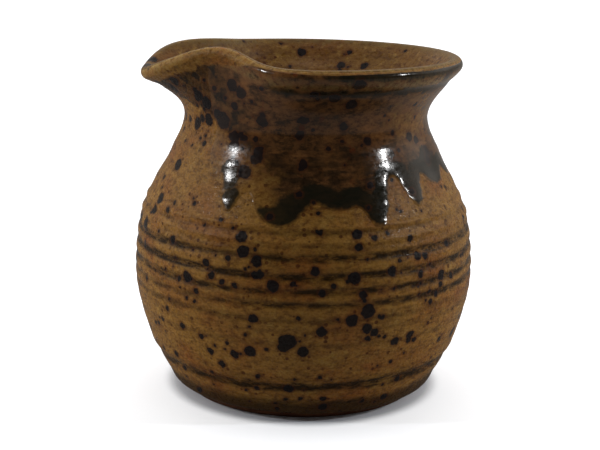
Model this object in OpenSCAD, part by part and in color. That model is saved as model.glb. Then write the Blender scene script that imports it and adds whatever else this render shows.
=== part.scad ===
// Small wheel-thrown stoneware pourer with a pulled spout, in millimetres.
// +Z is up, the foot rests on Z = 0, the wheel axis is Z and the spout points along -X.
// The clay is one thrown piece. Each glaze is a coat of glass of its own, face to face with
// what it covers. Angles round the pot start at the spout and grow towards -Y.

/* [Body] */
// Width across the belly, glaze included
belly_d = 96; // [93:1:104]
// Height of the waist, the narrowest ring of the neck
waist_h = 78.5; // [74:0.5:82]
// Thickness of the clay at the waist
neck_t = 3.6; // [3:0.1:4.2]

/* [Foot] */
// Radius of the bare foot where it meets the table
foot_r = 33.6; // [31:0.1:34]
// Width of the foot ring
foot_ring_w = 7; // [5:0.5:10]
// Depth of the recess turned into the underside
recess_depth = 1.5; // [0.8:0.1:2]
// Height of the bare foot, up to the edge of the glaze
bare_h = 2.5; // [2:0.1:3]

/* [Lip] */
// Height of the glazed lip's crest above the table, where it is round
lip_h = 95; // [93:0.5:97]
// Radius of the lip's crest
lip_r = 41.2; // [40:0.1:42]
// Thickness of the clay at the lip
lip_t = 3; // [2.6:0.1:3.4]

/* [Spout] */
// How far the tip reaches past the lip's circle
tip_reach = 3; // [1:0.1:4]
// How far the tip drops below the lip's crest
tip_drop = 3.9; // [2:0.1:4.5]
// How far the near side of the lip is pinched in beside the spout
near_pinch = 7.4; // [5:0.1:8]
// How far the far side of the lip is pinched in beside the spout
far_pinch = 6; // [5:0.1:8]
// How far the lip rises where the near pinch lifted it
near_rise = 4; // [1:0.1:5]
// How far the lip rises where the far pinch lifted it
far_rise = 1.8; // [1:0.1:5]

/* [Glaze] */
// Thickness of each coat of glaze
glaze_t = 0.45; // [0.3:0.05:0.6]

/* [Hidden] */
$fn = 96;

clay_color = "#6e4a33";
tan_color = "#8a6a3c";
liner_color = "#8d693f";
dark_color = "#2b2018";

// The thrown wall from the foot to the waist, as shares of the clay's belly radius and of waist_h.
clay_r = belly_d / 2 - glaze_t;
waist_share = 0.704;
waist_r = waist_share * clay_r;
outside = [[0.765, bare_h / waist_h], [0.830, 0.10], [0.922, 0.215], [0.991, 0.37], [0.998, 0.485],
           [0.967, 0.637], [0.887, 0.752], [0.783, 0.866], [waist_share, 1]];
inside = [[0.30, 0.080], [0.62, 0.103], [0.79, 0.18], [0.885, 0.32], [0.903, 0.47], [0.870, 0.64],
          [0.790, 0.752], [0.700, 0.866], [waist_share - neck_t / clay_r, 1]];
outside_start = [0.70, 0];                  // where each course comes from before its first point
inside_start = [0, 0.080];
curve_steps = 2;                            // straight stretches between two of those points
foot_ledge = 0.78;                          // how far the wall stands out over the bare foot
foot_top_r = outside[0][0] * clay_r - foot_ledge;

// The lip: where each feature lies, in degrees from the spout, and how wide it is.
reach_width = 23;
drop_width = 18;
pinch_place = 48;
pinch_width = 24;
rise_place = [44, -32];
rise_width = [18, 30];
lean = 0.01;                                // slope of the lip's plane towards -Y
flare_end = 1.3;                            // how steeply the collar flares where the lip begins
spout_flare_end = 2.3;

// The walls are meshes of columns of points. The collar is the part above the waist.
columns = 60;
column_spread = 1.2;                        // above 1, the columns gather at the spout
collar_rows = 6;
lip_steps = 6;
crest = 90;                                 // turn round the lip where the two coats meet

// The dark glaze was poured over the base glaze from the columns first_dark to last_dark. It
// reaches down to dark_line, and each run lower: its place, its width and its length.
first_dark = 40;
last_dark = columns + 20;
shoulder_rows = 6;
dark_line = 67;
runs = [[57, 7, 8], [81, 12, 11.6], [98, 10, 8], [111, 8, 11.8], [130, 9, 8.6], [149, 10, 5], [172, 11, 3],
        [193, 11, 8.5], [217, 12, 5], [239, 10, 9.6], [266, 13, 11], [295, 11, 7]];
seat_gap = 0.12;                            // lets its facets clear those of the coat below

function curve(a, b, c, d, t) =
    0.5 * (2 * b + (c - a) * t + (2 * a - 5 * b + 4 * c - d) * t * t + (3 * b - a - 3 * c + d) * t * t * t);
function curve_slope(a, b, c, d, t) =
    0.5 * ((c - a) + 2 * (2 * a - 5 * b + 4 * c - d) * t + 3 * (3 * b - a - 3 * c + d) * t * t);
function past_waist(course) = let (n = len(course) - 1) [course[n - 1][0], 2 - course[n - 1][1]];
function reversed(list) = [for (i = [len(list) - 1:-1:0]) list[i]];

// A smooth course of radii and heights through the shares, moved off to its right. The edge of
// a coat at the foot is level, and so is the step at the waist.
function wall_course(shares, start, off, level_start) =
    let (course = concat([start], shares, [past_waist(shares)]),
         p = [for (share = course) [share[0] * clay_r, share[1] * waist_h]],
         spans = len(shares) - 1)
    [for (i = [1:spans], j = [0:curve_steps - (i == spans ? 0 : 1)])
        let (t = j / curve_steps,
             at = curve(p[i - 1], p[i], p[i + 1], p[i + 2], t),
             along = curve_slope(p[i - 1], p[i], p[i + 1], p[i + 2], t),
             level = level_start && i + j == 1)
        at + off * (level ? [1, 0] : [along[1], -along[0]] / norm(along))];
function outside_course(off) = wall_course(outside, outside_start, off, true);
function inside_course(off) = wall_course(inside, inside_start, -off, false);
function around(a, course) = [for (p = course) [-p[0] * cos(a), -p[0] * sin(a), p[1]]];

// Radius and height of the centre line of the clay lip at an angle from the spout.
function bell(a, place, width) = exp(-pow((a - place) / width, 2));
function cusp(a, width) = exp(-(sqrt(a * a + 9) - 3) / width);
function lip_centre(a) =
    let (pinched = near_pinch * bell(a, pinch_place, pinch_width)
                   + far_pinch * bell(a, -pinch_place, pinch_width),
         r = lip_r + tip_reach * cusp(a, reach_width) - pinched,
         rise = near_rise * bell(a, rise_place[0], rise_width[0])
                + far_rise * bell(a, rise_place[1], rise_width[1]),
         crest_h = lip_h + rise - tip_drop * bell(a, 0, drop_width) + lean * r * sin(a))
    [r, crest_h - glaze_t - lip_t / 2];

// The collar's outside: a flare from the waist to where the rounding of the lip begins.
function flare(h, steep) = (3 - steep) * h * h - (2 - steep) * h * h * h;
function collar_point(a, h) =
    let (steep = flare_end + (spout_flare_end - flare_end) * bell(a, 0, reach_width),
         c = lip_centre(a),
         tilt = atan(steep * (c[0] - waist_r) / (c[1] - waist_h)),
         end = c + lip_t / 2 * [cos(tilt), -sin(tilt)],
         r = waist_r + (end[0] - waist_r) * flare(h, steep),
         z = waist_h + (end[1] - waist_h) * h)
    [-r * cos(a), -r * sin(a), z];
function unit(v) = v / norm(v);
function collar_normal(a, h) =
    unit(cross(collar_point(a + 1, h) - collar_point(a - 1, h),
               collar_point(a, h + 0.01) - collar_point(a, h - 0.01)));
function collar_up(a) = unit(collar_point(a, 1) - collar_point(a, 0.99));

// A point off millimetres clear of the clay: on the outside, on the inside, and round the lip.
function outer_point(a, h, off) = collar_point(a, h) + off * collar_normal(a, h);
function collar_t(h) = neck_t + (lip_t - neck_t) * h;
function inner_point(a, h, off) = collar_point(a, h) - (collar_t(h) + off) * collar_normal(a, h);
function lip_point(a, turn, off) =
    let (n = collar_normal(a, 1))
    collar_point(a, 1) - lip_t / 2 * n + (lip_t / 2 + off) * (cos(turn) * n + sin(turn) * collar_up(a));

// Points up a column, outside and inside, and over the lip as far as the turn given.
lip_turns = [for (k = [1:lip_steps]) k * 180 / lip_steps];
function up_collar(a, off) = [for (k = [1:collar_rows]) outer_point(a, k / collar_rows, off)];
function up_outside(a, off, last_turn) =
    concat(around(a, outside_course(off)), up_collar(a, off),
           [for (turn = lip_turns) if (turn <= last_turn) lip_point(a, turn, off)]);
function up_inside(a, off, last_turn) =
    concat(around(a, inside_course(off)),
           [for (k = [1:collar_rows]) inner_point(a, k / collar_rows, off)],
           [for (turn = reversed(lip_turns)) if (turn < 180 && turn >= last_turn) lip_point(a, turn, off)]);
function column_angle(i) = let (u = 2 * i / columns - 1) 180 * sign(u) * pow(abs(u), column_spread);
angles = [for (i = [0:columns - 1]) column_angle(i)];

// Faces between m columns of n points each: from column i to the next, and from point j to the
// next. The first up points of a column run upwards and the rest down, and the diagonals of the
// faces all lean the same way, so that a coat's facets match those of what it covers.
function quad(i, j, m, n, up) =
    let (a = i * n + j, b = i * n + (j + 1) % n, c = (i + 1) % m * n + (j + 1) % n, d = (i + 1) % m * n + j)
    j < up ? [[a, b, c], [a, c, d]] : [[a, b, d], [b, c, d]];
function skin(m, n, up, gap_i, gap_j) =
    [for (i = [0:m - 1 - gap_i], j = [0:n - 1 - gap_j], face = quad(i, j, m, n, up)) face];
function flat_points(lists) = [for (list = lists, p = list) p];

// A solid with a loop of points at each column, closed round the pot.
module ring_of(loops) {
    n = len(loops[0]);
    polyhedron(flat_points(loops), skin(len(loops), n, n / 2, 0, 0));
}

// A solid whose columns run from the axis at the height of their first point to the axis at the last.
module vessel_of(lines, up) {
    m = len(lines);
    n = len(lines[0]);
    ends = [[0, 0, lines[0][0][2]], [0, 0, lines[0][n - 1][2]]];
    polyhedron(concat(flat_points(lines), ends),
        concat(skin(m, n, up, 0, 1),
            [for (i = [0:m - 1]) [m * n, i * n, (i + 1) % m * n]],
            [for (i = [0:m - 1]) [m * n + 1, (i + 1) % m * n + n - 1, i * n + n - 1]]));
}

// A solid that goes part of the way round, with loops that run up n / 2 points and back down.
module strip_of(loops) {
    m = len(loops);
    n = len(loops[0]);
    first = [for (k = [0:n / 2 - 2]) each [[n - 2 - k, k + 1, k], [n - 1 - k, n - 2 - k, k]]];
    last = [for (face = first) [for (v = reversed(face)) v + (m - 1) * n]];
    polyhedron(flat_points(loops), concat(skin(m, n, n / 2, 1, 0), first, last));
}

module clay_body() {
    recess_r = foot_r - foot_ring_w;
    buried_h = bare_h + 1;
    color(clay_color) union() {
        rotate_extrude() polygon([[0, recess_depth], [recess_r - recess_depth, recess_depth], [recess_r, 0],
            [foot_r, 0], [foot_top_r, bare_h], [foot_top_r, buried_h], [0, buried_h]]);
        vessel_of([for (a = angles) concat(up_outside(a, 0, 180), reversed(up_inside(a, 0, 180)))],
            len(up_outside(0, 0, 180)));
    }
}

module base_glaze() {
    color(tan_color)
    ring_of([for (a = angles) concat(up_outside(a, glaze_t, crest), reversed(up_outside(a, 0, crest)))]);
}

module liner_glaze() {
    color(liner_color)
    vessel_of([for (a = angles) concat(up_inside(a, 0, crest), reversed(up_inside(a, glaze_t, crest)))],
        len(up_inside(0, 0, crest)));
}

// A column of the poured glaze's under or upper side: off from the clay, clear of the shoulder.
function dark_low(a) = dark_line - max([for (run = runs) run[2] * bell((a + 360) % 360, run[0], run[1])]);
function dark_side(a, seat, off, clear) =
    let (low = dark_low(a),
         shoulder = [for (k = [0:shoulder_rows])
             let (z = low + (waist_h - low) * k / shoulder_rows) [lookup(z, seat) + clear, z]])
    concat(around(a, shoulder), up_collar(a, off));

module dark_glaze() {
    seat = [for (p = outside_course(glaze_t)) [p[1], p[0]]];
    color(dark_color) strip_of([for (i = [first_dark:last_dark])
        let (a = angles[i % columns])
        concat(dark_side(a, seat, 2 * glaze_t, glaze_t), reversed(dark_side(a, seat, glaze_t, seat_gap)))]);
}

clay_body();
base_glaze();
liner_glaze();
dark_glaze();
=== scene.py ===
import math

import bpy
import numpy as np
from mathutils import Matrix, Vector


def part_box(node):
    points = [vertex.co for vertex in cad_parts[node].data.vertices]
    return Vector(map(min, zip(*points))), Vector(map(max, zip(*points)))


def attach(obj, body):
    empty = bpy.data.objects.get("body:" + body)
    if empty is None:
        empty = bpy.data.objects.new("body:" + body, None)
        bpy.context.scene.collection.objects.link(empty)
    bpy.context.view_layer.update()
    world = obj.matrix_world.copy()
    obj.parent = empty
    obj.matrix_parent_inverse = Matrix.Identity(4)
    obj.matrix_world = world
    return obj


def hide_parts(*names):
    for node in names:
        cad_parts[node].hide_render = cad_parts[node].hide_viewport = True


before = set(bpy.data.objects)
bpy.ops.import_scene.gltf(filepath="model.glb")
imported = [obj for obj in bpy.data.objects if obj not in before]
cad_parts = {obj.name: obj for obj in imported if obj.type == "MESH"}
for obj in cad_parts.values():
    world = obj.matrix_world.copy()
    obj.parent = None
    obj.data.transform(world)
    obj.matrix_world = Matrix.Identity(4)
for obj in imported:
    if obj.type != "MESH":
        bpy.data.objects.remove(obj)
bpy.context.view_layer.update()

# A wheel-thrown stoneware pourer. Lengths in this file are millimetres of a pot 96 wide across
# the belly, and UNIT turns them into metres of the pot that the frame holds. Angles round the
# pot are in degrees, start at the spout (-X) and grow towards -Y, the side that faces the camera.

BELLY_W = 96.0
BASE_LOW, BASE_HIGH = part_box("base_glaze")
UNIT = (BASE_HIGH.y - BASE_LOW.y) / BELLY_W

# ---------------------------------------------------------------- the thrown shape

GLAZE_T = 0.45
CLAY_R = BELLY_W / 2 - GLAZE_T
WAIST_H = 78.5
WAIST_SHARE = 0.704
WAIST_R = WAIST_SHARE * CLAY_R
NECK_T = 3.6
BURIED = 0.03                # how far the hidden side of a coat stands off the clay

# The foot: its radius on the table and just under the glaze, its bare height, the recess inside it.
FOOT_R = 33.6
FOOT_TOP_R = 35.6
BARE_H = 2.5
RECESS = 1.5

# The lip where it is round, and the slope of its plane towards -Y.
LIP_H = 95.0
LIP_R = 41.2
LIP_T = 3.0
LEAN = 0.01

# The spout: its tip reaches out and drops, and the lip is pinched in on both sides of it.
TIP_REACH = 3.0
REACH_W = 23.0
TIP_ROUND = 3.0
TIP_DROP = 3.9
DROP_W = 18.0
NEAR_PINCH = 7.4
FAR_PINCH = 6.0
PINCH_PLACE = 48.0
PINCH_W = 24.0
LIFTS = [(4.0, 44, 18), (1.8, -32, 30)]    # how far each pinch lifted the lip, where and how wide
FLARE_END = 1.3                            # flare where the lip begins, against the neck's mean flare
SPOUT_FLARE_END = 2.3

# The wall from the foot to the waist, as shares of the clay's belly radius and of the waist's height.
OUTSIDE = [(0.70, 0), (0.765, BARE_H / WAIST_H), (0.830, 0.10), (0.922, 0.215), (0.991, 0.37),
           (0.998, 0.485), (0.967, 0.637), (0.887, 0.752), (0.783, 0.866), (WAIST_SHARE, 1)]
INSIDE = [(0, 0.080), (0.30, 0.080), (0.62, 0.103), (0.79, 0.18), (0.885, 0.32), (0.903, 0.47),
          (0.870, 0.64), (0.790, 0.752), (0.700, 0.866), (WAIST_SHARE - NECK_T / CLAY_R, 1)]

COLUMNS = 640
WALL_ROWS = 200
COLLAR_ROWS = 46
LIP_ROWS = 12                # over each half of the lip
INNER_WALL_ROWS = 120


def bell(a, place, width):
    return np.exp(-((a - place) / width) ** 2)


def ramp(value, start, end):
    """Goes straight from 0 at start to 1 at end. The start may be the higher of the two."""
    return np.clip((value - start) / (end - start), 0, 1)


def ease(value, middle, width):
    """Goes softly from 0 to 1 around the middle."""
    return 1 / (1 + np.exp((middle - value) / width))


def wrapped(a):
    """An angle between -180 and 180."""
    return (a + 180) % 360 - 180


def wander(a, seed, waves=7):
    """A smooth closed curve round the pot, between about -1 and 1."""
    draw = np.random.default_rng(seed)
    total = np.zeros_like(a, dtype=float)
    for k in range(1, waves + 1):
        size = draw.uniform(0.4, 1) / k ** 0.7
        total += size * np.sin(np.radians(k * a) + draw.uniform(0, 2 * math.pi))
    return total / 1.8


def smooth_line(points, steps):
    """A Catmull-Rom curve through the points between the first and the last."""
    p = np.asarray(points, float)
    t = (np.arange(steps) / steps)[:, None]
    spans = []
    for a, b, c, d in zip(p, p[1:], p[2:], p[3:]):
        bend = (2 * a - 5 * b + 4 * c - d) * t ** 2 + (3 * b - a - 3 * c + d) * t ** 3
        spans.append(0.5 * (2 * b + (c - a) * t + bend))
    return np.vstack(spans + [p[-2:-1]])


def spaced(line, count):
    """The line as count points at equal distances along it."""
    way = np.concatenate([[0], np.cumsum(np.linalg.norm(np.diff(line, axis=0), axis=1))])
    at = np.linspace(0, way[-1], count)
    return np.column_stack([np.interp(at, way, line[:, k]) for k in range(line.shape[1])])


def wall(shares, count):
    """Radius and height up a thrown wall, from its first share to the waist."""
    course = shares + [(shares[-2][0], 2 - shares[-2][1])]
    return spaced(smooth_line(course, 30) * [CLAY_R, WAIST_H], count)


def lip_centre(a):
    """Radius and height of the middle of the clay lip."""
    pinched = NEAR_PINCH * bell(a, PINCH_PLACE, PINCH_W) + FAR_PINCH * bell(a, -PINCH_PLACE, PINCH_W)
    reach = TIP_REACH * np.exp(-(np.sqrt(a * a + TIP_ROUND ** 2) - TIP_ROUND) / REACH_W)
    r = LIP_R + reach - pinched
    rise = sum(lift * bell(a, place, width) for lift, place, width in LIFTS)
    crest = LIP_H + rise - TIP_DROP * bell(a, 0, DROP_W) + LEAN * r * np.sin(np.radians(a))
    return r, crest - GLAZE_T - LIP_T / 2


def placed(a, r, z):
    """Points at angles, radii and heights."""
    turn = np.radians(a)
    return np.stack(np.broadcast_arrays(-r * np.cos(turn), -r * np.sin(turn), z), axis=-1)


def unit(v):
    return v / np.linalg.norm(v, axis=-1, keepdims=True)


def collar(a, h):
    """A point on the outside of the flared neck, from the waist (h 0) to where the lip begins (h 1)."""
    steep = FLARE_END + (SPOUT_FLARE_END - FLARE_END) * bell(a, 0, REACH_W)
    lip_r, lip_z = lip_centre(a)
    tilt = np.arctan(steep * (lip_r - WAIST_R) / (lip_z - WAIST_H))
    end_r = lip_r + LIP_T / 2 * np.cos(tilt)
    end_z = lip_z - LIP_T / 2 * np.sin(tilt)
    r = WAIST_R + (end_r - WAIST_R) * ((3 - steep) * h ** 2 - (2 - steep) * h ** 3)
    return placed(a, r, WAIST_H + (end_z - WAIST_H) * h)


def collar_normal(a, h):
    return unit(np.cross(collar(a + 1, h) - collar(a - 1, h), collar(a, h + 0.01) - collar(a, h - 0.01)))


def lip_round(a, turn):
    """A point on the clay lip: turn is 0 outside, 90 on the crest and 180 inside."""
    n = collar_normal(a, 1.0)
    up = unit(collar(a, 1.0) - collar(a, 0.99))
    t = np.radians(turn)[..., None]
    return collar(a, 1.0) - LIP_T / 2 * n + LIP_T / 2 * (np.cos(t) * n + np.sin(t) * up)


def clay_section():
    """The clay's skin as a grid [column, row], from the foot over the lip to the middle of the floor."""
    a = wrapped(np.arange(COLUMNS) * 360.0 / COLUMNS)[:, None]
    out = wall(OUTSIDE, WALL_ROWS)
    inner = wall(INSIDE, INNER_WALL_ROWS)[::-1]
    h = np.linspace(0, 1, COLLAR_ROWS + 1)[None, 1:]
    turns = np.linspace(0, 180, 2 * LIP_ROWS + 1)[None, 1:]
    h_down = h[:, ::-1][:, 1:]
    thick = NECK_T + (LIP_T - NECK_T) * h_down
    down = collar(a, h_down) - thick[..., None] * collar_normal(a, h_down)
    grid = np.concatenate([
        placed(a, out[None, :, 0], out[None, :, 1]), collar(a, h), lip_round(a, turns), down,
        placed(a, inner[None, :-1, 0], inner[None, :-1, 1])], axis=1)
    return a[:, 0], grid


def grid_normals(grid):
    """Normals of a grid of points that closes round the pot."""
    round_pot = np.roll(grid, -1, 0) - np.roll(grid, 1, 0)
    return unit(np.cross(round_pot, np.gradient(grid, axis=1)))


# The clay's skin, which every coat lies on, and each point's distance from the lip's crest and
# from the foot along it.
ANGLES, SKIN = clay_section()
NORMALS = grid_normals(SKIN)
A_GRID = np.repeat(ANGLES[:, None], SKIN.shape[1], axis=1)
CREST_ROW = WALL_ROWS + COLLAR_ROWS + LIP_ROWS - 1
OUT = slice(0, CREST_ROW + 1)
IN = slice(CREST_ROW, None)
FROM_FOOT = np.pad(np.cumsum(np.linalg.norm(np.diff(SKIN, axis=1), axis=2), axis=1), ((0, 0), (1, 0)))
FROM_CREST = np.abs(FROM_FOOT - FROM_FOOT[:, CREST_ROW:CREST_ROW + 1])


# ---------------------------------------------------------------- marks of the wheel

# Single rings on the belly: height, standing out (+) or cut in (-), half width, dark glaze in it.
SINGLE_RINGS = [(55.5, 0.24, 0.7, 0.0), (54, -0.16, 0.6, 0.45), (52, 0.22, 0.6, 0.0),
                (50.5, -0.10, 0.8, 0.25), (25, -0.09, 1.0, 0.35), (20, -0.06, 1.0, 0.25),
                (14.5, 0.14, 1.1, 0.3), (12, -0.30, 1.1, 1.2), (6.5, -0.12, 1.2, 0.55), (4, 0.08, 0.8, 0.0)]
# The even series between them: from its top groove down, the grooves get closer and shallower.
GROOVES = 6
TOP_GROOVE = 48.0
GROOVE_STEP = 4.5
STEP_SHRINKS = 0.14
GROOVE_DEPTH = 0.25
GROOVE_DARK = 1.1
CREST_RISE = 0.12            # of the crests between the upper grooves
GROOVE_HALF = 0.8
# Faint rings under the poured glaze: height, rise and half width.
NECK_RINGS = [(60.5, 0.07, 1.2), (65.0, -0.06, 1.2), (69.0, 0.06, 1.3), (73.5, -0.06, 1.4),
              (80.0, 0.05, 1.2)]
RING_WAVER = 0.45            # how far a ring strays up and down
RING_UNEVEN = 0.35           # how much its depth varies round the pot


def belly_rings():
    """All rings of the belly, in the form of the single ones."""
    rings = list(SINGLE_RINGS)
    for k in range(GROOVES):
        height = TOP_GROOVE - GROOVE_STEP * k + STEP_SHRINKS * k * k
        fade = 1 - (k / GROOVES) ** 2
        rings.append((height, -GROOVE_DEPTH * fade, GROOVE_HALF, GROOVE_DARK * fade))
        if k < GROOVES / 2:
            rings.append((height - GROOVE_STEP / 2, CREST_RISE, GROOVE_HALF, 0.0))
    return rings


def ring_relief(a, z):
    """How far the rings raise the surface, and how much dark glaze lies in them."""
    height = np.zeros_like(z)
    pooled = np.zeros_like(z)
    for k, (place, rise, half, dark) in enumerate(belly_rings()):
        line = place + RING_WAVER * wander(a, 40 + k)
        strength = 1 + RING_UNEVEN * wander(a, 80 + k, 11)
        height += rise * strength * bell(z, line, half)
        pooled += dark * np.clip(strength, 0.2, 1.5) * bell(z, line, 1.4 * half)
    for k, (place, rise, half) in enumerate(NECK_RINGS):
        height += rise * bell(z, place + 0.5 * wander(a, 120 + k), half)
    return height, pooled


def wobble(a, z):
    """The slow unevenness of a hand-thrown wall."""
    return 0.10 * wander(a, 3, 4) * bell(z, 40, 30) + 0.07 * wander(a + 2.5 * z, 4, 5)


# ---------------------------------------------------------------- iron spots

# The most striking iron spots, about where the photo shows them: angle, height and radius.
BIG_SPOTS = [(80, 26, 2.3), (85, 23, 1.5), (105, 34, 1.9), (100, 32, 1.6), (105, 29, 1.4), (45, 40, 1.5),
             (70, 47, 1.4), (135, 40, 1.4), (60, 68, 1.8), (45, 80, 2.2), (35, 84, 1.7), (65, 81, 1.4)]
SPOT_SPREAD = 0.55           # of the logarithm of a random spot's radius
SMALLEST_SPOT = 0.22
LARGEST_SPOT = 1.6
NO_SPOT = -9.0               # the depth of a point that is far from every spot


def scattered_spots(seed, count, low, high, typical=0.58, start=-180, end=180):
    """Spots at random, between two heights and two angles, many near a typical radius."""
    draw = np.random.default_rng(seed)
    spots = []
    for _ in range(count):
        a = draw.uniform(start, end)
        z = draw.uniform(low, high)
        radius = draw.lognormal(math.log(typical), SPOT_SPREAD)
        spots.append((a, z, float(np.clip(radius, SMALLEST_SPOT, LARGEST_SPOT))))
    return spots


def spot_depth(grid, spots):
    """At each point, how far inside the edge of an iron spot it lies: negative outside them all."""
    depth = np.full(grid.shape[:2], NO_SPOT)
    for angle, z, radius in spots:
        column = int(np.argmin(np.abs(wrapped(ANGLES - angle))))
        row = int(np.argmin(np.abs(grid[column, :, 2] - z)))
        reach = np.linalg.norm(grid - grid[column, row], axis=2)
        np.maximum(depth, radius - reach, out=depth)
    return depth


# ---------------------------------------------------------------- the poured dark glaze

# The pour covers neck and shoulder from one side of the spout round the back to the other, down
# to a line and, in runs, lower. The runs roughly follow the photo on the side that shows, and are
# invented on the back: angle, half width in degrees, length down from the line.
POUR_START = 40.0
POUR_END = 312.0
POUR_LINE = 67.0
RUNS = [(57, 5, 9), (76, 12.5, 11.5), (97, 13, 7.5), (111, 6.5, 11.5), (130, 5.5, 8.5), (148, 9, 4),
        (168, 10, 4), (184, 7, 7.5), (202, 13, 5), (219, 6, 12), (237, 14, 6.5), (262, 8, 10.5),
        (281, 12, 4.5), (300, 8, 8)]
LINE_WAVER = 0.7             # how far the line strays up and down
ABOVE_LIP = 120.0            # the outline closes up here, clear of the lip
BELOW_CREST = 0.25           # the pour starts this far under the lip's crest
LOWER_NEAR = (4.4, 57, 4)    # and this much lower beside the spout, up to an angle, and how softly
LOWER_FAR = (3.0, 300, 5)    # the same on its far side, from an angle
BARE_BEHIND = 0.15           # how bare of it the crest is on the side away from the spout
BARE_W = 72.0                # about how far the bare crest reaches to each side of the spout
# Where the glaze has pooled thick: angle, height, half width in degrees and half height.
POOLS = [(54, 67, 5.5, 4.5), (57, 60.5, 4.8, 4.0), (76, 57.6, 11.5, 3.2), (87, 61.0, 14, 3.7),
         (109, 58.5, 6, 4.5), (131, 61.5, 6, 4), (147, 68, 8, 5)]
# The base coat shows through up to an angle that depends on the height: height and angle. It also
# does so from an angle on the far side, and in a rubbed place on the neck, given like a pool.
THIN_LIMIT = [(55, 80), (62, 75), (68, 70), (74, 61), (80, 55), (95, 50)]
FAR_THIN = 298.0
THIN_FADE = 9.0              # degrees to each side of those limits
RUBBED = (142, 82, 22, 10)
RUBBED_THIN = 0.6            # how far it shows through there
# A thin brown film beside and under the spout: its two sides, and its lower limit as the angle to
# either side and the height.
FILM_SIDES = (-85, 95)
FILM_LIMIT = [(0, 83), (30, 80), (45, 76), (60, 69), (180, 69)]
FULL_FROM = 72.0             # the coat gains its whole thickness around this angle
THINNEST = 0.10              # share of it beside the spout
POUR_T = 0.22
EDGE_ROUND = 1.4             # the coat rises to that over about this distance from its edge
BEAD_T = 0.02                # how much the runs' edge stands over the rest
SUNK = -0.22                 # the coat's hidden side, under the surface of the base coat
KEPT = -0.12                 # the coat's mesh ends where its upper side has sunk this far
POUR_FLOOR = 48.0            # no run reaches below this height
# Bands of thick dark glaze along the lip: how dark, how far from the crest, and half width.
DARK_UNDER_LIP = (0.68, 6.3, 2.5)
DARK_ON_CREST = (0.9, 0.9, 1.3)
BACK_FROM = 160.0            # around this angle the dark edge of the runs goes over to a thinner one
SHOULDER_R = 42.0
MM_PER_DEGREE = math.radians(1) * SHOULDER_R
SLOPE = 1.12                 # length along the shoulder for each millimetre of height


def pour_outline():
    """The closed outline of the poured glaze, in angle and height."""
    a = np.arange(POUR_START + 6, POUR_END - 4, 2.5)
    runs = np.array([length * np.exp(-np.abs((a - place) / half) ** 3) for place, half, length in RUNS])
    z = POUR_LINE - (runs ** 3).sum(axis=0) ** (1 / 3) + LINE_WAVER * wander(3 * a, 21, 9)
    near_side = [(POUR_START + 2, 92), (POUR_START - 2, 84), (POUR_START + 1, 77), (POUR_START + 1, 71)]
    far_side = [(POUR_END - 2, 70), (POUR_END, 78), (POUR_END, 88), (POUR_END, 96)]
    line = smooth_line(near_side + list(zip(a, z)) + far_side, 6)
    return np.vstack([line, [(POUR_END, ABOVE_LIP), (POUR_START + 2, ABOVE_LIP)]])


def outline_depth(a, z, outline):
    """Distance inside a closed outline: negative outside."""
    x, y = a * MM_PER_DEGREE, z * SLOPE
    corners = outline * [MM_PER_DEGREE, SLOPE]
    nearest = np.full(a.shape, np.inf)
    inside = np.zeros(a.shape, bool)
    for (x0, y0), (x1, y1) in zip(corners, np.roll(corners, -1, 0)):
        along = np.array([x1 - x0, y1 - y0])
        share = ((x - x0) * along[0] + (y - y0) * along[1]) / max(along @ along, 1e-9)
        share = np.clip(share, 0, 1)
        np.minimum(nearest, np.hypot(x - x0 - share * along[0], y - y0 - share * along[1]), out=nearest)
        if y0 != y1:
            inside ^= ((y0 > y) != (y1 > y)) & (x < (x1 - x0) * (y - y0) / (y1 - y0) + x0)
    return np.where(inside, nearest, -nearest)


def pour_start(a):
    """How far below the crest the pour starts: lower on both sides of the spout."""
    turn = a % 360
    near, near_end, near_soft = LOWER_NEAR
    far, far_start, far_soft = LOWER_FAR
    lower = near * (1 - ease(turn, near_end, near_soft)) + far * ease(turn, far_start, far_soft)
    return BELOW_CREST + lower


def bare_crest(a):
    """How bare of the poured glaze the crest is: it is covered on the side away from the spout."""
    return BARE_BEHIND + (1 - BARE_BEHIND) * bell(wrapped(a), 0, BARE_W)


def patch(a, z, place, height, half, tall):
    """A round patch with soft edges: 1 in its middle and 0 outside."""
    return np.exp(-(((a % 360 - place) / half) ** 2 + ((z - height) / tall) ** 2) ** 2)


def pooled_glaze(a, z):
    """How much the glaze has pooled at each point, from 0 to 1."""
    return np.max([patch(a, z, *pool) for pool in POOLS], axis=0)


def thin_glaze(a, z):
    """How far the base coat shows through the poured glaze at each point, from 0 to 1."""
    turn = a % 360
    limit = np.interp(z, *zip(*THIN_LIMIT))
    near = ramp(turn, limit + THIN_FADE, limit - THIN_FADE)
    far = ramp(turn, FAR_THIN - THIN_FADE, FAR_THIN + THIN_FADE)
    return np.maximum(np.maximum(near, far), RUBBED_THIN * patch(a, z, *RUBBED))


def neck_film(a, z, below_crest):
    """Where a thin brown film of the poured glaze lies on the neck beside and under the spout."""
    low = np.interp(np.abs(a), *zip(*FILM_LIMIT))
    beside = (a > FILM_SIDES[0]) & (a < FILM_SIDES[1])
    return ramp(z, low, low + 5) * ramp(below_crest, 3.6, 6.0) * beside


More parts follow.
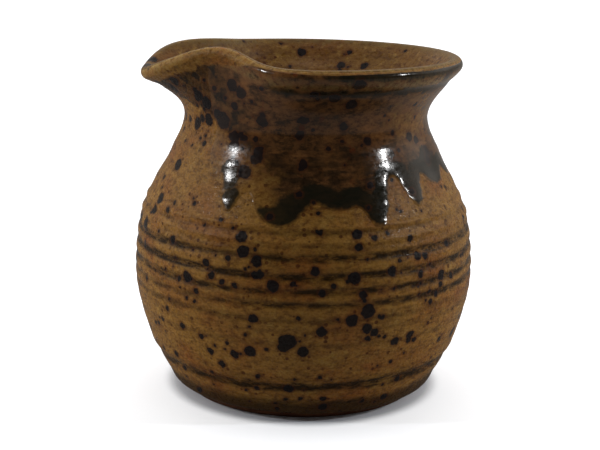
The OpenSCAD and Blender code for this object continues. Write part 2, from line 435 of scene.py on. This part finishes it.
def pour_thickness(a, z, below_crest):
    """The poured glaze's height over the base coat, negative past its edge, and the depth inside that."""
    turn = a % 360
    ragged = 0.22 * wander(9 * a, 22, 9) + 0.25 * wander(7 * a + 40 * z, 24, 5)
    top = below_crest - pour_start(a) - 0.3 * wander(2 * a, 23, 9)
    depth = np.minimum(outline_depth(turn, z, pour_outline()) + ragged, 4 * top)
    full = ease(turn, FULL_FROM, 5) * (1 - ease(turn, FAR_THIN, 4))
    share = np.clip(THINNEST + (1 - THINNEST) * full + 0.25 * pooled_glaze(a, z), 0, 1)
    bead = BEAD_T * bell(depth, 1.5, 1.1) * ramp(z, 72, 66)
    rise = (POUR_T * np.tanh(np.clip(np.minimum(depth, top), 0, None) / EDGE_ROUND) + bead) * share
    return np.where(depth > 0, rise, np.maximum(depth * 0.5, SUNK * 0.8)), depth


def lip_band(below_crest, dark, place, half):
    """A soft band along the lip, on both sides of a distance from its crest."""
    return dark * bell(below_crest, place, half)


def pour_pool(a, z, depth, below_crest):
    """Where the poured glaze is thick and dark: in the pools, along its edge, under and on the lip."""
    turn = a % 360
    back = ease(turn, BACK_FROM, 5)
    uneven = np.clip(0.65 + 0.9 * wander(2 * a, 27, 6), 0.1, 1)
    edge = (1 - back) * ramp(depth, 7.5, 4) + back * uneven * bell(depth, 1.2, 3.6)
    edge *= ramp(z, 74, 68) * ramp(turn, 76, 84)
    under_lip = lip_band(below_crest, *DARK_UNDER_LIP) * ramp(turn, 56, 76)
    on_crest = lip_band(below_crest, *DARK_ON_CREST) * ramp(turn, 78, 98) * ramp(turn, 290, 270)
    return np.clip(np.maximum(edge, pooled_glaze(a, z)) + under_lip + on_crest, 0, 1)


# ---------------------------------------------------------------- meshes

def new_object(name, points, faces, marks):
    """A smooth mesh object from points in millimetres, with a value at each point for each mark."""
    mesh = bpy.data.meshes.new(name)
    mesh.from_pydata((points * UNIT).tolist(), [], faces)
    mesh.polygons.foreach_set("use_smooth", np.ones(len(mesh.polygons), bool))
    for mark, values in marks.items():
        layer = mesh.attributes.new(mark, "FLOAT", "POINT")
        layer.data.foreach_set("value", np.asarray(values, np.float32).ravel())
    mesh.update()
    piece = bpy.data.objects.new(name, mesh)
    bpy.context.scene.collection.objects.link(piece)
    return piece


def grid_faces(columns, rows, close_rows):
    """Faces between neighbouring columns of a grid that closes round the pot."""
    i, j = np.meshgrid(np.arange(columns), np.arange(rows if close_rows else rows - 1), indexing="ij")
    i2, j2 = (i + 1) % columns, (j + 1) % rows
    quads = np.stack([i * rows + j, i2 * rows + j, i2 * rows + j2, i * rows + j2], axis=-1)
    return quads.reshape(-1, 4).tolist()


def ring_piece(name, loops, marks):
    """A coat that runs round the pot: each column is a closed loop of points."""
    columns, rows = loops.shape[:2]
    return new_object(name, loops.reshape(-1, 3), grid_faces(columns, rows, True), marks)


def vessel_piece(name, lines, marks):
    """A solid whose columns start and end on the axis."""
    columns, rows = lines.shape[:2]
    first, last = columns * rows, columns * rows + 1
    ends = np.array([[0, 0, lines[0, 0, 2]], [0, 0, lines[0, -1, 2]]])
    around = [(i, (i + 1) % columns) for i in range(columns)]
    faces = grid_faces(columns, rows, False)
    faces += [(first, n * rows, i * rows) for i, n in around]
    faces += [(last, i * rows + rows - 1, n * rows + rows - 1) for i, n in around]
    ended = {mark: np.append(v.ravel(), [v[0, 0], v[0, -1]]) for mark, v in marks.items()}
    return new_object(name, np.vstack([lines.reshape(-1, 3), ends]), faces, ended)


def sheet_piece(name, upper, under, kept, marks):
    """A closed coat over the kept cells of a grid, with walls along its edges."""
    columns, rows = upper.shape[:2]
    used = np.zeros((columns, rows), bool)
    for di in (0, 1):
        for dj in (0, 1):
            used |= np.roll(np.pad(kept, ((0, 0), (dj, 1 - dj))), di, axis=0)
    count = int(used.sum())
    number = np.full((columns, rows), -1)
    number[used] = np.arange(count)
    ci, cj = np.nonzero(kept)
    ni = (ci + 1) % columns
    cells = np.stack([number[ci, cj], number[ni, cj], number[ni, cj + 1], number[ci, cj + 1]], axis=1)
    faces = cells.tolist() + (cells[:, ::-1] + count).tolist()
    directed = {(c[k], c[(k + 1) % 4]) for c in cells.tolist() for k in range(4)}
    faces += [(q, p, p + count, q + count) for p, q in directed if (q, p) not in directed]
    twice = {mark: np.tile(v[used], 2) for mark, v in marks.items()}
    return new_object(name, np.vstack([upper[used], under[used]]), faces, twice)


# ---------------------------------------------------------------- node materials

def srgb(r, g, b):
    """A colour from its 0 to 255 screen values."""
    lin = [c / 12.92 if c <= 0.04045 else ((c + 0.055) / 1.055) ** 2.4 for c in (r / 255, g / 255, b / 255)]
    return (*lin, 1.0)


WHITE = (1.0, 1.0, 1.0, 1.0)
SPOT = srgb(22, 23, 27)
SPOT_HALO = srgb(76, 40, 24)
TAN = (srgb(146, 91, 43), srgb(158, 117, 56))        # its rusty clouds and the rest
# The tan inside the pot, kept darker than the outside's as painted shade for the inside.
LINER_TAN_SHADED = (srgb(120, 79, 37), srgb(126, 93, 45))
TAN_BAND = srgb(82, 52, 24)
TAN_MOTTLE = srgb(76, 42, 21)
TAN_LIGHT = srgb(184, 149, 80)
TAN_GRAIN = srgb(68, 43, 22)
RUST = srgb(68, 32, 16)
GROOVE_GLAZE = srgb(46, 32, 15)
# Darker, thinner glaze near the foot, which also paints the shade low on the wall.
FOOT_GLAZE_AND_SHADE = srgb(40, 29, 18)
WORN_LIP = srgb(172, 145, 84)
FILM = (srgb(99, 67, 38), srgb(46, 31, 20))          # light and dark
FILM_BLOTCH = srgb(27, 27, 25)
LINER_RING = srgb(74, 48, 28)
LINER_OLIVE = srgb(112, 92, 53)
LINER_LIP = srgb(150, 124, 66)
DARK_STREAKS = (srgb(70, 50, 31), srgb(116, 79, 46))
DARK_CLOUD = srgb(34, 25, 18)
DARK_BLOTCH = srgb(112, 72, 36)
DARK_DRIP = srgb(112, 74, 38)
DARK_FLECK = srgb(30, 20, 11)
# Lighter mottle up the neck, partly painted light that brightens the shaded neck.
DARK_NECK_MOTTLE_AND_LIGHT = srgb(146, 98, 55)
EMBER = srgb(100, 44, 19)
STAIN = srgb(50, 28, 12)
THICK_POOL = srgb(27, 29, 22)
KHAKI = srgb(150, 122, 70)
CLAY = (srgb(84, 49, 31), srgb(106, 67, 44))
CLAY_IRON = srgb(36, 24, 18)
GROG = srgb(142, 106, 76)


class Nodes:
    """A node tree being put together. A value may be a socket or a constant."""

    def __init__(self, tree):
        self.tree = tree

    def feed(self, socket, value):
        if isinstance(value, bpy.types.NodeSocket):
            self.tree.links.new(value, socket)
        else:
            socket.default_value = value

    def node(self, kind, inputs=(), **settings):
        made = self.tree.nodes.new(kind)
        for key, value in settings.items():
            setattr(made, key, value)
        for socket, value in dict(inputs).items():
            self.feed(made.inputs[socket], value)
        return made

    def math(self, operation, a, b):
        return self.node("ShaderNodeMath", {0: a, 1: b}, operation=operation).outputs[0]

    def times(self, a, b):
        return self.math("MULTIPLY", a, b)

    def step(self, value, low, high, start=0.0, end=1.0):
        """Goes smoothly from start to end as value goes from low to high."""
        inputs = {0: value, 1: low, 2: high, 3: start, 4: end}
        return self.node("ShaderNodeMapRange", inputs, interpolation_type="SMOOTHSTEP").outputs[0]

    def between(self, factor, a, b):
        """A number between two others."""
        return self.node("ShaderNodeMix", {0: factor, 2: a, 3: b}).outputs[0]

    def mix(self, factor, a, b):
        """A colour between two others."""
        return self.node("ShaderNodeMix", {0: factor, 6: a, 7: b}, data_type="RGBA").outputs[2]


class Paint(Nodes):
    """A glaze or clay being put together. Each pattern has a shift of its own, so that no two agree."""

    def __init__(self, name):
        self.material = bpy.data.materials.new(name)
        self.material.use_nodes = True
        super().__init__(self.material.node_tree)
        self.shader = self.tree.nodes["Principled BSDF"]
        self.place = self.node("ShaderNodeTexCoord").outputs["Object"]

    def space(self, flat, shift):
        """Object coordinates. A pattern is drawn out round the pot by flat over 1, upright by less."""
        inputs = {0: self.place, 1: (shift * UNIT,) * 3, 3: (1, 1, flat)}
        return self.node("ShaderNodeMapping", inputs).outputs[0]

    def noise(self, size, flat=1.0, shift=0.0, detail=3.0, rough=0.55):
        """Soft noise from 0 to 1 with features of about that many millimetres."""
        inputs = {"Vector": self.space(flat, shift), "Scale": 1 / (size * UNIT), "Detail": detail,
                  "Roughness": rough}
        return self.node("ShaderNodeTexNoise", inputs).outputs[0]

    def specks(self, spacing, share, shift=0.0):
        """Small round specks: their spacing in millimetres and the largest one's share of it."""
        inputs = {"Vector": self.space(1.0, shift), "Scale": 1 / (spacing * UNIT)}
        cells = self.node("ShaderNodeTexVoronoi", inputs)
        draw = self.node("ShaderNodeSeparateColor", {0: cells.outputs["Color"]}).outputs[0]
        inside = self.math("SUBTRACT", self.times(draw, share), cells.outputs["Distance"])
        return self.step(inside, 0.0, 0.08)

    def mark(self, name):
        """The value that the mesh holds for a mark."""
        return self.node("ShaderNodeAttribute", attribute_name=name).outputs["Fac"]

    def ragged(self, name, amount, *noise):
        """A mark whose limits noise has made ragged."""
        shake = self.times(self.math("SUBTRACT", self.noise(*noise), 0.5), amount)
        return self.math("ADD", self.mark(name), shake)

    def height(self):
        """Height over the table in millimetres."""
        return self.times(self.node("ShaderNodeSeparateXYZ", {0: self.place}).outputs[2], 1 / UNIT)

    def tint(self, color, other, cover, strength):
        """A colour with another over it where cover is 1, as strongly as that."""
        return self.mix(self.times(cover, strength), color, other)

    def bump(self, layers):
        """Bumps from (height socket, millimetres), one on top of the other."""
        normal = None
        for value, depth in layers:
            inputs = {"Height": value, "Distance": depth * UNIT}
            if normal is not None:
                inputs["Normal"] = normal
            normal = self.node("ShaderNodeBump", inputs).outputs[0]
        return normal

    def finish(self, color, roughness, normal, specular):
        self.feed(self.shader.inputs["Base Color"], color)
        self.feed(self.shader.inputs["Roughness"], roughness)
        self.feed(self.shader.inputs["Normal"], normal)
        self.shader.inputs["Specular IOR Level"].default_value = specular
        return self.material


def spotted(p, color, strength=1.0):
    """Iron spots with a rusty halo over a colour, and how much spot there is."""
    depth = p.ragged("spot", 1.5, 1.6, 1.0, 7)
    core = p.times(p.step(depth, -0.18, 0.06), 0.94 * strength)
    haloed = p.tint(color, SPOT_HALO, p.step(depth, -0.95, -0.1), 0.55 * strength)
    return p.mix(core, haloed, SPOT), core


def tan_color(p, warm, cool):
    """Mottled tan glaze: rusty clouds, bands left by the wheel, fine mottling and rust specks."""
    color = p.mix(p.step(p.noise(16, 1.6), 0.40, 0.74), cool, warm)
    color = p.tint(color, TAN_BAND, p.step(p.noise(9, 6.0, 3, 4), 0.50, 0.72), 0.42)
    color = p.tint(color, TAN_MOTTLE, p.step(p.noise(2.2, 1.8, 5, 6, 0.75), 0.44, 0.66), 0.66)
    color = p.tint(color, TAN_LIGHT, p.step(p.noise(2.6, 1.5, 11, 4, 0.65), 0.52, 0.74), 0.44)
    color = p.tint(color, TAN_GRAIN, p.step(p.noise(0.8, 1.3, 9, 2, 0.7), 0.40, 0.66), 0.30)
    rust = p.times(p.specks(1.9, 0.36, 2), p.step(p.noise(9, 1.5, 17), 0.36, 0.54))
    return p.tint(color, RUST, rust, 0.75)


def filmed(p, color):
    """The brown film on the neck, with blue-black blotches in it."""
    film = p.step(p.ragged("film", 1.6, 4.5, 1.2, 23, 6, 0.7), 0.30, 0.62)
    brown = p.mix(p.step(p.noise(3, 1.3, 26, 5, 0.7), 0.36, 0.64), *FILM)
    color = p.tint(color, brown, film, 0.86)
    blotch = p.times(film, p.step(p.noise(4.5, 1.1, 24, 5, 0.65), 0.51, 0.60))
    return p.tint(color, FILM_BLOTCH, blotch, 0.85)


def worn_crest(p, color, worn_color):
    """A colour with the glaze worn thin along the crest of the lip."""
    worn = p.step(p.noise(1.2, 1.0, 25, 5, 0.75), 0.42, 0.58)
    return p.mix(p.times(p.mark("lip"), worn), color, worn_color)


def tan_glaze():
    p = Paint("tan_glaze")
    color = tan_color(p, *TAN)
    patchy = p.math("ADD", p.step(p.noise(5, 3.0, 13, 5, 0.7), 0.34, 0.60), 0.35)
    color = p.tint(color, GROOVE_GLAZE, p.times(p.step(p.mark("pooled"), 0.08, 0.95), patchy), 0.78)
    # Towards the foot the glaze turns darker: partly thinner glaze, partly painted shade low on the wall.
    above_foot = p.math("ADD", p.height(), p.times(p.noise(7, 1.5, 19), 3.0))
    color = p.mix(p.step(above_foot, 9.8, 6.2, 0.0, 0.82), color, FOOT_GLAZE_AND_SHADE)
    color = worn_crest(p, filmed(p, color), WORN_LIP)
    color, spot = spotted(p, color)
    rough = p.step(p.noise(0.9, 1.2, 29, 4, 0.7), 0.40, 0.52, 0.14, 0.40)
    rough = p.math("SUBTRACT", rough, p.times(spot, 0.03))
    normal = p.bump([(p.noise(1.3, 1.2, 31, 4, 0.6), 0.16), (p.noise(0.6, 1.0, 37, 3), 0.12)])
    return p.finish(color, rough, normal, 0.12)


def liner_glaze():
    p = Paint("liner_glaze")
    # The inside's tan is darker than the outside's: painted shade inside the pot.
    color = tan_color(p, *LINER_TAN_SHADED)
    color = p.tint(color, LINER_RING, p.step(p.noise(7, 5.0, 41), 0.52, 0.70), 0.45)
    olive = p.times(p.mark("olive"), p.step(p.noise(3, 1.4, 49, 5, 0.7), 0.36, 0.58, 0.2, 1.0))
    color = worn_crest(p, p.mix(olive, color, LINER_OLIVE), LINER_LIP)
    color = spotted(p, color)[0]
    rough = p.step(p.noise(1.0, 1.2, 43, 4, 0.7), 0.38, 0.52, 0.20, 0.46)
    normal = p.bump([(p.noise(1.6, 1.2, 47, 4), 0.14)])
    return p.finish(color, rough, normal, 0.12)


def dark_body(p):
    """The poured glaze at its usual thickness: streaks, clouds, drips, flecks and embers, and lighter
    mottle up the neck that is partly painted light.
    """
    body = p.mix(p.step(p.noise(7, 4.0, 53, 5, 0.65), 0.40, 0.62), *DARK_STREAKS)
    body = p.tint(body, DARK_CLOUD, p.step(p.noise(6, 0.8, 57, 5, 0.65), 0.44, 0.60), 0.6)
    body = p.tint(body, DARK_BLOTCH, p.step(p.noise(9, 1.1, 59, 4), 0.52, 0.70), 0.55)
    body = p.tint(body, DARK_DRIP, p.step(p.noise(4, 0.3, 63, 4), 0.54, 0.70), 0.45)
    body = p.tint(body, DARK_FLECK, p.step(p.noise(1.4, 1.4, 65, 5, 0.75), 0.46, 0.62), 0.55)
    # Lighter patches up the neck: mottle in the glaze, and painted light that brightens the neck where it
    # lies in shade.
    on_neck = p.step(p.height(), 68, 80)
    patchy = p.times(on_neck, p.step(p.noise(3.4, 1.8, 58, 6, 0.75), 0.42, 0.60))
    body = p.tint(body, DARK_NECK_MOTTLE_AND_LIGHT, patchy, 0.52)
    ember = p.times(p.specks(2.6, 0.42, 61), p.step(p.noise(8, 1.2, 67), 0.48, 0.66))
    return p.tint(body, EMBER, ember, 0.55)


def dark_glaze():
    p = Paint("dark_glaze")
    body = dark_body(p)
    thin = p.step(p.ragged("thin", 1.3, 5, 1.6, 73, 5, 0.65), 0.10, 0.90)
    through = filmed(p, p.mix(0.22, tan_color(p, *TAN), STAIN))
    body = p.mix(thin, body, through)
    pool = p.step(p.ragged("pool", 1.1, 4, 1.3, 71, 5), 0.34, 0.70)
    body = p.tint(body, THICK_POOL, pool, 0.9)
    khaki = p.times(p.mark("khaki"), p.step(p.noise(1.3, 0.7, 75, 6, 0.8), 0.40, 0.58))
    body = p.mix(khaki, body, KHAKI)
    edge = p.ragged("edge", 1.4, 1.6, 1.0, 77, 4)
    body = p.mix(p.step(edge, 0.05, 1.1), through, body)
    color = spotted(p, body, 0.9)[0]
    rough = p.step(p.noise(1.1, 1.5, 79, 4, 0.7), 0.36, 0.60, 0.08, 0.19)
    matt = p.times(thin, p.math("SUBTRACT", 1.0, pool))
    rough = p.math("ADD", rough, p.times(matt, 0.05))
    normal = p.bump([(p.noise(3.0, 1.2, 83, 3), 0.05), (p.noise(0.9, 1.0, 89, 3), 0.016)])
    return p.finish(color, rough, normal, 0.36)


def stoneware():
    p = Paint("stoneware")
    color = p.mix(p.step(p.noise(6, 2.0, 91, 4), 0.35, 0.68), *CLAY)
    color = p.tint(color, CLAY_IRON, p.specks(1.7, 0.36, 93), 0.7)
    color = p.tint(color, GROG, p.specks(1.1, 0.30, 95), 0.4)
    rough = p.step(p.noise(2, 1.0, 97), 0.3, 0.7, 0.72, 0.90)
    normal = p.bump([(p.noise(0.9, 3.0, 99, 4), 0.12), (p.noise(0.3, 1.0, 101, 2), 0.04)])
    return p.finish(color, rough, normal, 0.20)


# ---------------------------------------------------------------- pieces

# The foot from the middle of the recess to just under the glaze: radius and height.
FOOT = [(6, RECESS), (14, RECESS), (22, RECESS), (25.4, RECESS - 0.1), (26.3, 0.5), (27.0, 0.1), (28, 0),
        (30, 0), (32.6, 0), (33.3, 0.15), (FOOT_R + 0.1, 0.6), (34.4, 1.2), (35.1, 1.9),
        (FOOT_TOP_R, BARE_H - 0.1)]
LIP_GROOVE = -0.22           # the soft groove under the lip, its place and its half width
LIP_GROOVE_AT = 6.2
LIP_GROOVE_HALF = 1.5
CALM_LIP = 4.0               # the outside's relief dies away over this distance to the crest
CALM_LINER = 5.0             # and the rings inside over this
BASE_EDGE = 0.12             # share of its thickness that the base coat has at its lower edge
BASE_THICKENS = 0.35         # and about the distance over which it gains the rest
BASE_WAVER = 0.28            # how far that edge strays up and down
LINER_RING_T = 0.14          # rise of the rings inside, and their distance
LINER_RING_STEP = 6.5


def dress(piece, material, node):
    """Gives a piece its material, and has it ride with the pot and stand for its CAD node."""
    piece.data.materials.append(material)
    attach(piece, "root")
    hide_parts(node)


def some_rows(count, step):
    """Every few rows of a grid, with its last one."""
    return np.unique(np.append(np.arange(0, count, step), count - 1))


def underside(part, step):
    """The hidden side of a coat over part of the skin, coarser than its face, and the rows it has."""
    rows = some_rows(SKIN[:, part].shape[1], step)[::-1]
    return (SKIN[:, part] + BURIED * NORMALS[:, part])[:, rows], rows


def make_clay():
    """The fired clay: its foot and underside show, and the rest is under the coats."""
    under = np.array(FOOT)
    foot = placed(ANGLES[::4, None], under[None, :, 0], under[None, :, 1])
    lines = np.concatenate([foot, SKIN[::4][:, some_rows(SKIN.shape[1], 3)]], axis=1)
    dress(vessel_piece("clay", lines, {}), stoneware(), "clay_body")


def base_face():
    """The base coat's outer face, and the pooled glaze in its rings."""
    grid, a = SKIN[:, OUT], A_GRID[:, OUT]
    z = grid[..., 2]
    relief, pooled = ring_relief(a, z)
    lip_groove = LIP_GROOVE * bell(FROM_CREST[:, OUT], LIP_GROOVE_AT, LIP_GROOVE_HALF)
    calm = ramp(FROM_CREST[:, OUT], 0, CALM_LIP)
    fade = BASE_EDGE + (1 - BASE_EDGE) * (1 - np.exp(-FROM_FOOT[:, OUT] / BASE_THICKENS))
    thick = (GLAZE_T + (relief + lip_groove + wobble(a, z)) * calm) * fade
    face = grid + thick[..., None] * NORMALS[:, OUT]
    face[..., 2] += BASE_WAVER * wander(2 * a, 31, 9) * np.exp(-FROM_FOOT[:, OUT] / 2.0)
    return face, pooled


def make_base(face, pooled):
    """Makes the tan coat on the outside, and returns the depths in its iron spots."""
    a = A_GRID[:, OUT]
    below_crest = FROM_CREST[:, OUT]
    hidden, rows = underside(OUT, 9)
    on_neck = scattered_spots(9, 14, 70, 90, 1.2, 15, 62)
    spots = spot_depth(face, BIG_SPOTS + scattered_spots(5, 700, 4, 92) + on_neck)
    values = {"pooled": pooled, "spot": spots, "film": neck_film(a, face[..., 2], below_crest),
              "lip": np.exp(-below_crest / 1.5) * bare_crest(a)}
    marks = {name: np.concatenate([v, v[:, rows]], axis=1) for name, v in values.items()}
    piece = ring_piece("base_coat", np.concatenate([face, hidden], axis=1), marks)
    dress(piece, tan_glaze(), "base_glaze")
    return spots


def make_liner():
    """The coat on the inside, from the crest of the lip to the floor."""
    grid, a = SKIN[:, IN], A_GRID[:, IN]
    below_crest = FROM_CREST[:, IN]
    calm = ramp(below_crest, 0, CALM_LINER) * ramp(np.hypot(grid[..., 0], grid[..., 1]), 4.5, 19.5)
    turns = grid[..., 2] / LINER_RING_STEP
    rings = LINER_RING_T * np.sin(2 * math.pi * turns + 0.8 * wander(a, 35, 4))
    face = grid + (GLAZE_T + rings * calm)[..., None] * NORMALS[:, IN]
    hidden, rows = underside(IN, 6)
    under_lip = scattered_spots(8, 50, 84, 95, 0.95)
    on_floor = scattered_spots(7, 45, 6.2, 9.5)
    values = {"spot": spot_depth(face, scattered_spots(6, 300, 8, 94) + under_lip + on_floor),
              "lip": np.exp(-below_crest / 0.5),
              "olive": bell(below_crest, 1.4, 1.6) * np.clip(0.9 + 0.6 * wander(a, 37), 0.3, 1)}
    marks = {name: np.concatenate([v[:, rows], v], axis=1) for name, v in values.items()}
    piece = vessel_piece("liner_coat", np.concatenate([hidden, face], axis=1), marks)
    dress(piece, liner_glaze(), "liner_glaze")


def make_pour(face, spots):
    """The poured coat, which lies on the face of the base coat and shows its spots."""
    part = slice(int(np.argmax(SKIN[0, :, 2] > POUR_FLOOR)), CREST_ROW - 1)
    normals = grid_normals(face)[:, part]
    a, z, below_crest = A_GRID[:, part], face[:, part, 2], FROM_CREST[:, part]
    thick, depth = pour_thickness(a, z, below_crest)
    upper = face[:, part] + thick[..., None] * normals
    under = face[:, part] + SUNK * normals
    kept = (thick > KEPT) | np.roll(thick > KEPT, -1, 0)
    kept = kept[:, :-1] | kept[:, 1:]
    khaki = bell(below_crest, 3.5, 1.4) * (0.5 + 0.5 * ramp(a % 360, 95, 135))
    marks = {"spot": spots[:, part], "pool": pour_pool(a, z, depth, below_crest), "thin": thin_glaze(a, z),
             "khaki": khaki, "edge": np.clip(depth, -1, 4), "film": neck_film(a, z, below_crest)}
    piece = sheet_piece("poured_coat", upper, under, kept, marks)
    dress(piece, dark_glaze(), "dark_glaze")


# ---------------------------------------------------------------- camera, floor and light

SPOUT_TURN = 5.25                    # the spout points this many degrees towards the camera
CAMERA_AT = (-1.11, -390.5, 140.5)
CAMERA_PITCH = 13.64
CAMERA_ROLL = 0.88
LENS = 84.0
SENSOR_W = 36.0
NEAREST_SEEN = 10.0

# Two narrow upright lamps make the highlights on the shoulder: azimuth from +X, elevation and power.
LEFT_LAMP = (-166, 31, 2.1)
RIGHT_LAMP = (-17, 29, 2.7)
LAMP_SIZE = (11, 100)
LAMP_DISTANCE = 1100.0
LAMP_AIM = 50.0                      # the height that they look at
# A narrow lamp straight over the pot lights its inside.
MOUTH_LAMP_H = 600.0
MOUTH_BEAM = 6.4
MOUTH_BLEND = 0.6
MOUTH_POWER = 9.0
MOUTH_LAMP_R = 15.0

FLOOR_SIZE = 6000.0
FLOOR_COLOR = (0.86, 0.915, 1.0, 1.0)
FLOOR_LIFT = 0.50                    # keeps the shadow on the floor pale
FOOT_SHADOW = (36.0, 41.0)           # that lift starts at the first radius and is whole at the second
FLOOR_BOUNCE = 0.58                  # what the floor throws back at the pot
FRONT_BOUNCE = 0.02                  # and what it does far in front of the pot
BOUNCE_EDGE = (-150.0, -75.0)        # it goes from one to the other between these depths
SHINE_FROM_FLOOR = 0.25              # the floor as gloss on the pot mirrors it

# The tent of light round the pot. A direction's depth is -1 towards the camera and 1 away from it.
# Each range goes from one depth or height to another, and from one light or share to another.
SIDES = (-0.34, 0.30, 0.120, 4.0)    # dim in front, bright at the sides
BACK = (0.40, 0.90, 1.0, 0.10)       # and down again behind the pot
HIGH_UP = (0.15, 0.75, 1.0, 0.25)    # the sides get dimmer with height
OVERHEAD_WAY = (0.0, 0.5, 0.866)     # a bright patch over the pot and a little behind it
OVERHEAD = (0.68, 0.97, 0.0, 1.0)
OVERHEAD_LIGHT = 1.5
SHINE_OF_TENT = 0.30                 # how much of the tent gloss on the pot mirrors
SHINE_BEHIND = (0.60, 0.90, 0.0, 0.9)  # gloss along the outline mirrors a bright backdrop as well
SHINE_RISES = (0.02, 0.42, 0.30, 1.0)  # and gloss mirrors less of what is low down
TENT_COLOR = (1.0, 0.93, 0.86, 1.0)
BACKDROP = 1.3                       # the white that the camera sees


def add_camera():
    """The camera at the photo's viewing angle, turned with the spout."""
    pitch = Matrix.Rotation(math.pi / 2 - math.radians(CAMERA_PITCH), 4, "X")
    roll = Matrix.Rotation(math.radians(CAMERA_ROLL), 4, "Z")
    turn = Matrix.Rotation(-math.radians(SPOUT_TURN), 4, "Z")
    pose = turn @ Matrix.Translation(CAMERA_AT) @ pitch @ roll
    pose.translation *= UNIT
    data = bpy.data.cameras.new("camera")
    data.sensor_width = SENSOR_W
    data.lens = LENS
    data.clip_start = NEAREST_SEEN * UNIT
    camera = bpy.data.objects.new("camera", data)
    camera.matrix_world = pose
    bpy.context.scene.collection.objects.link(camera)
    bpy.context.scene.camera = camera


def add_lamp(name, azimuth, elevation, power):
    """An upright area light that looks at the pot."""
    data = bpy.data.lights.new(name, "AREA")
    data.shape = "RECTANGLE"
    data.size, data.size_y = (s * UNIT for s in LAMP_SIZE)
    data.energy = power
    az, el = math.radians(azimuth), math.radians(elevation)
    way = Vector((math.cos(az) * math.cos(el), math.sin(az) * math.cos(el), math.sin(el)))
    lamp = bpy.data.objects.new(name, data)
    lamp.location = (way * LAMP_DISTANCE + Vector((0, 0, LAMP_AIM))) * UNIT
    lamp.rotation_euler = way.to_track_quat("Z", "Y").to_euler()
    bpy.context.scene.collection.objects.link(lamp)


def add_mouth_lamp():
    """A narrow lamp straight over the pot, so that its inside can be seen from above."""
    data = bpy.data.lights.new("mouth_lamp", "SPOT")
    data.energy = MOUTH_POWER
    data.spot_size = math.radians(MOUTH_BEAM)
    data.spot_blend = MOUTH_BLEND
    data.shadow_soft_size = MOUTH_LAMP_R * UNIT
    lamp = bpy.data.objects.new("mouth_lamp", data)
    lamp.location = (0, 0, MOUTH_LAMP_H * UNIT)
    bpy.context.scene.collection.objects.link(lamp)


def floor_material():
    """Nearly white to the camera, with a pale shadow, and darker as the light on the pot finds it."""
    material = bpy.data.materials.new("floor")
    material.use_nodes = True
    n = Nodes(material.node_tree)
    shader = n.tree.nodes["Principled BSDF"]
    shader.inputs["Roughness"].default_value = 0.9
    shader.inputs["Specular IOR Level"].default_value = 0.1
    shader.inputs["Emission Color"].default_value = WHITE
    rays = n.node("ShaderNodeLightPath")
    seen = rays.outputs["Is Camera Ray"]
    place = n.node("ShaderNodeTexCoord").outputs["Object"]
    depth = n.node("ShaderNodeSeparateXYZ", {0: place}).outputs[1]
    start, end = (y * UNIT for y in BOUNCE_EDGE)
    bounce = n.step(depth, start, end, FRONT_BOUNCE, FLOOR_BOUNCE)
    bounce = n.between(rays.outputs["Is Glossy Ray"], bounce, SHINE_FROM_FLOOR)
    n.feed(shader.inputs["Base Color"], n.mix(seen, bounce, FLOOR_COLOR))
    reach = n.node("ShaderNodeVectorMath", {0: place}, operation="LENGTH").outputs["Value"]
    start, end = (r * UNIT for r in FOOT_SHADOW)
    lift = n.step(reach, start, end, 0.0, FLOOR_LIFT)
    n.feed(shader.inputs["Emission Strength"], n.between(seen, 0.0, lift))
    return material


def add_floor():
    side = FLOOR_SIZE / 2 * UNIT
    mesh = bpy.data.meshes.new("floor")
    mesh.from_pydata([(-side, -side, 0), (side, -side, 0), (side, side, 0), (-side, side, 0)], [],
                     [(0, 1, 2, 3)])
    mesh.materials.append(floor_material())
    floor = bpy.data.objects.new("floor", mesh)
    bpy.context.scene.collection.objects.link(floor)


def add_world():
    """A tent of light: bright at the sides and overhead, dim in front and behind. The camera sees white."""
    world = bpy.data.worlds.new("studio")
    bpy.context.scene.world = world
    world.use_nodes = True
    n = Nodes(world.node_tree)
    way = n.node("ShaderNodeTexCoord").outputs["Generated"]
    split = n.node("ShaderNodeSeparateXYZ", {0: way})
    depth, up = split.outputs[1], split.outputs[2]
    sides = n.times(n.step(depth, *SIDES), n.step(depth, *BACK))
    sides = n.times(sides, n.step(up, *HIGH_UP))
    towards = n.node("ShaderNodeVectorMath", {0: way, 1: OVERHEAD_WAY}, operation="DOT_PRODUCT")
    tent = n.between(n.step(towards.outputs["Value"], *OVERHEAD), sides, OVERHEAD_LIGHT)
    shine = n.between(SHINE_OF_TENT, n.step(depth, *SHINE_BEHIND), tent)
    shine = n.times(shine, n.step(up, *SHINE_RISES))
    rays = n.node("ShaderNodeLightPath")
    seen = rays.outputs["Is Camera Ray"]
    light = n.between(rays.outputs["Is Glossy Ray"], tent, shine)
    background = n.tree.nodes["Background"]
    n.feed(background.inputs["Strength"], n.between(seen, light, BACKDROP))
    n.feed(background.inputs["Color"], n.mix(seen, TENT_COLOR, WHITE))


def set_stage():
    add_camera()
    add_floor()
    add_world()
    add_lamp("left_lamp", *LEFT_LAMP)
    add_lamp("right_lamp", *RIGHT_LAMP)
    add_mouth_lamp()
    bpy.context.scene.view_settings.view_transform = "Standard"


set_stage()
make_clay()
base_coat_face, ring_glaze = base_face()
base_spots = make_base(base_coat_face, ring_glaze)
make_liner()
make_pour(base_coat_face, base_spots)
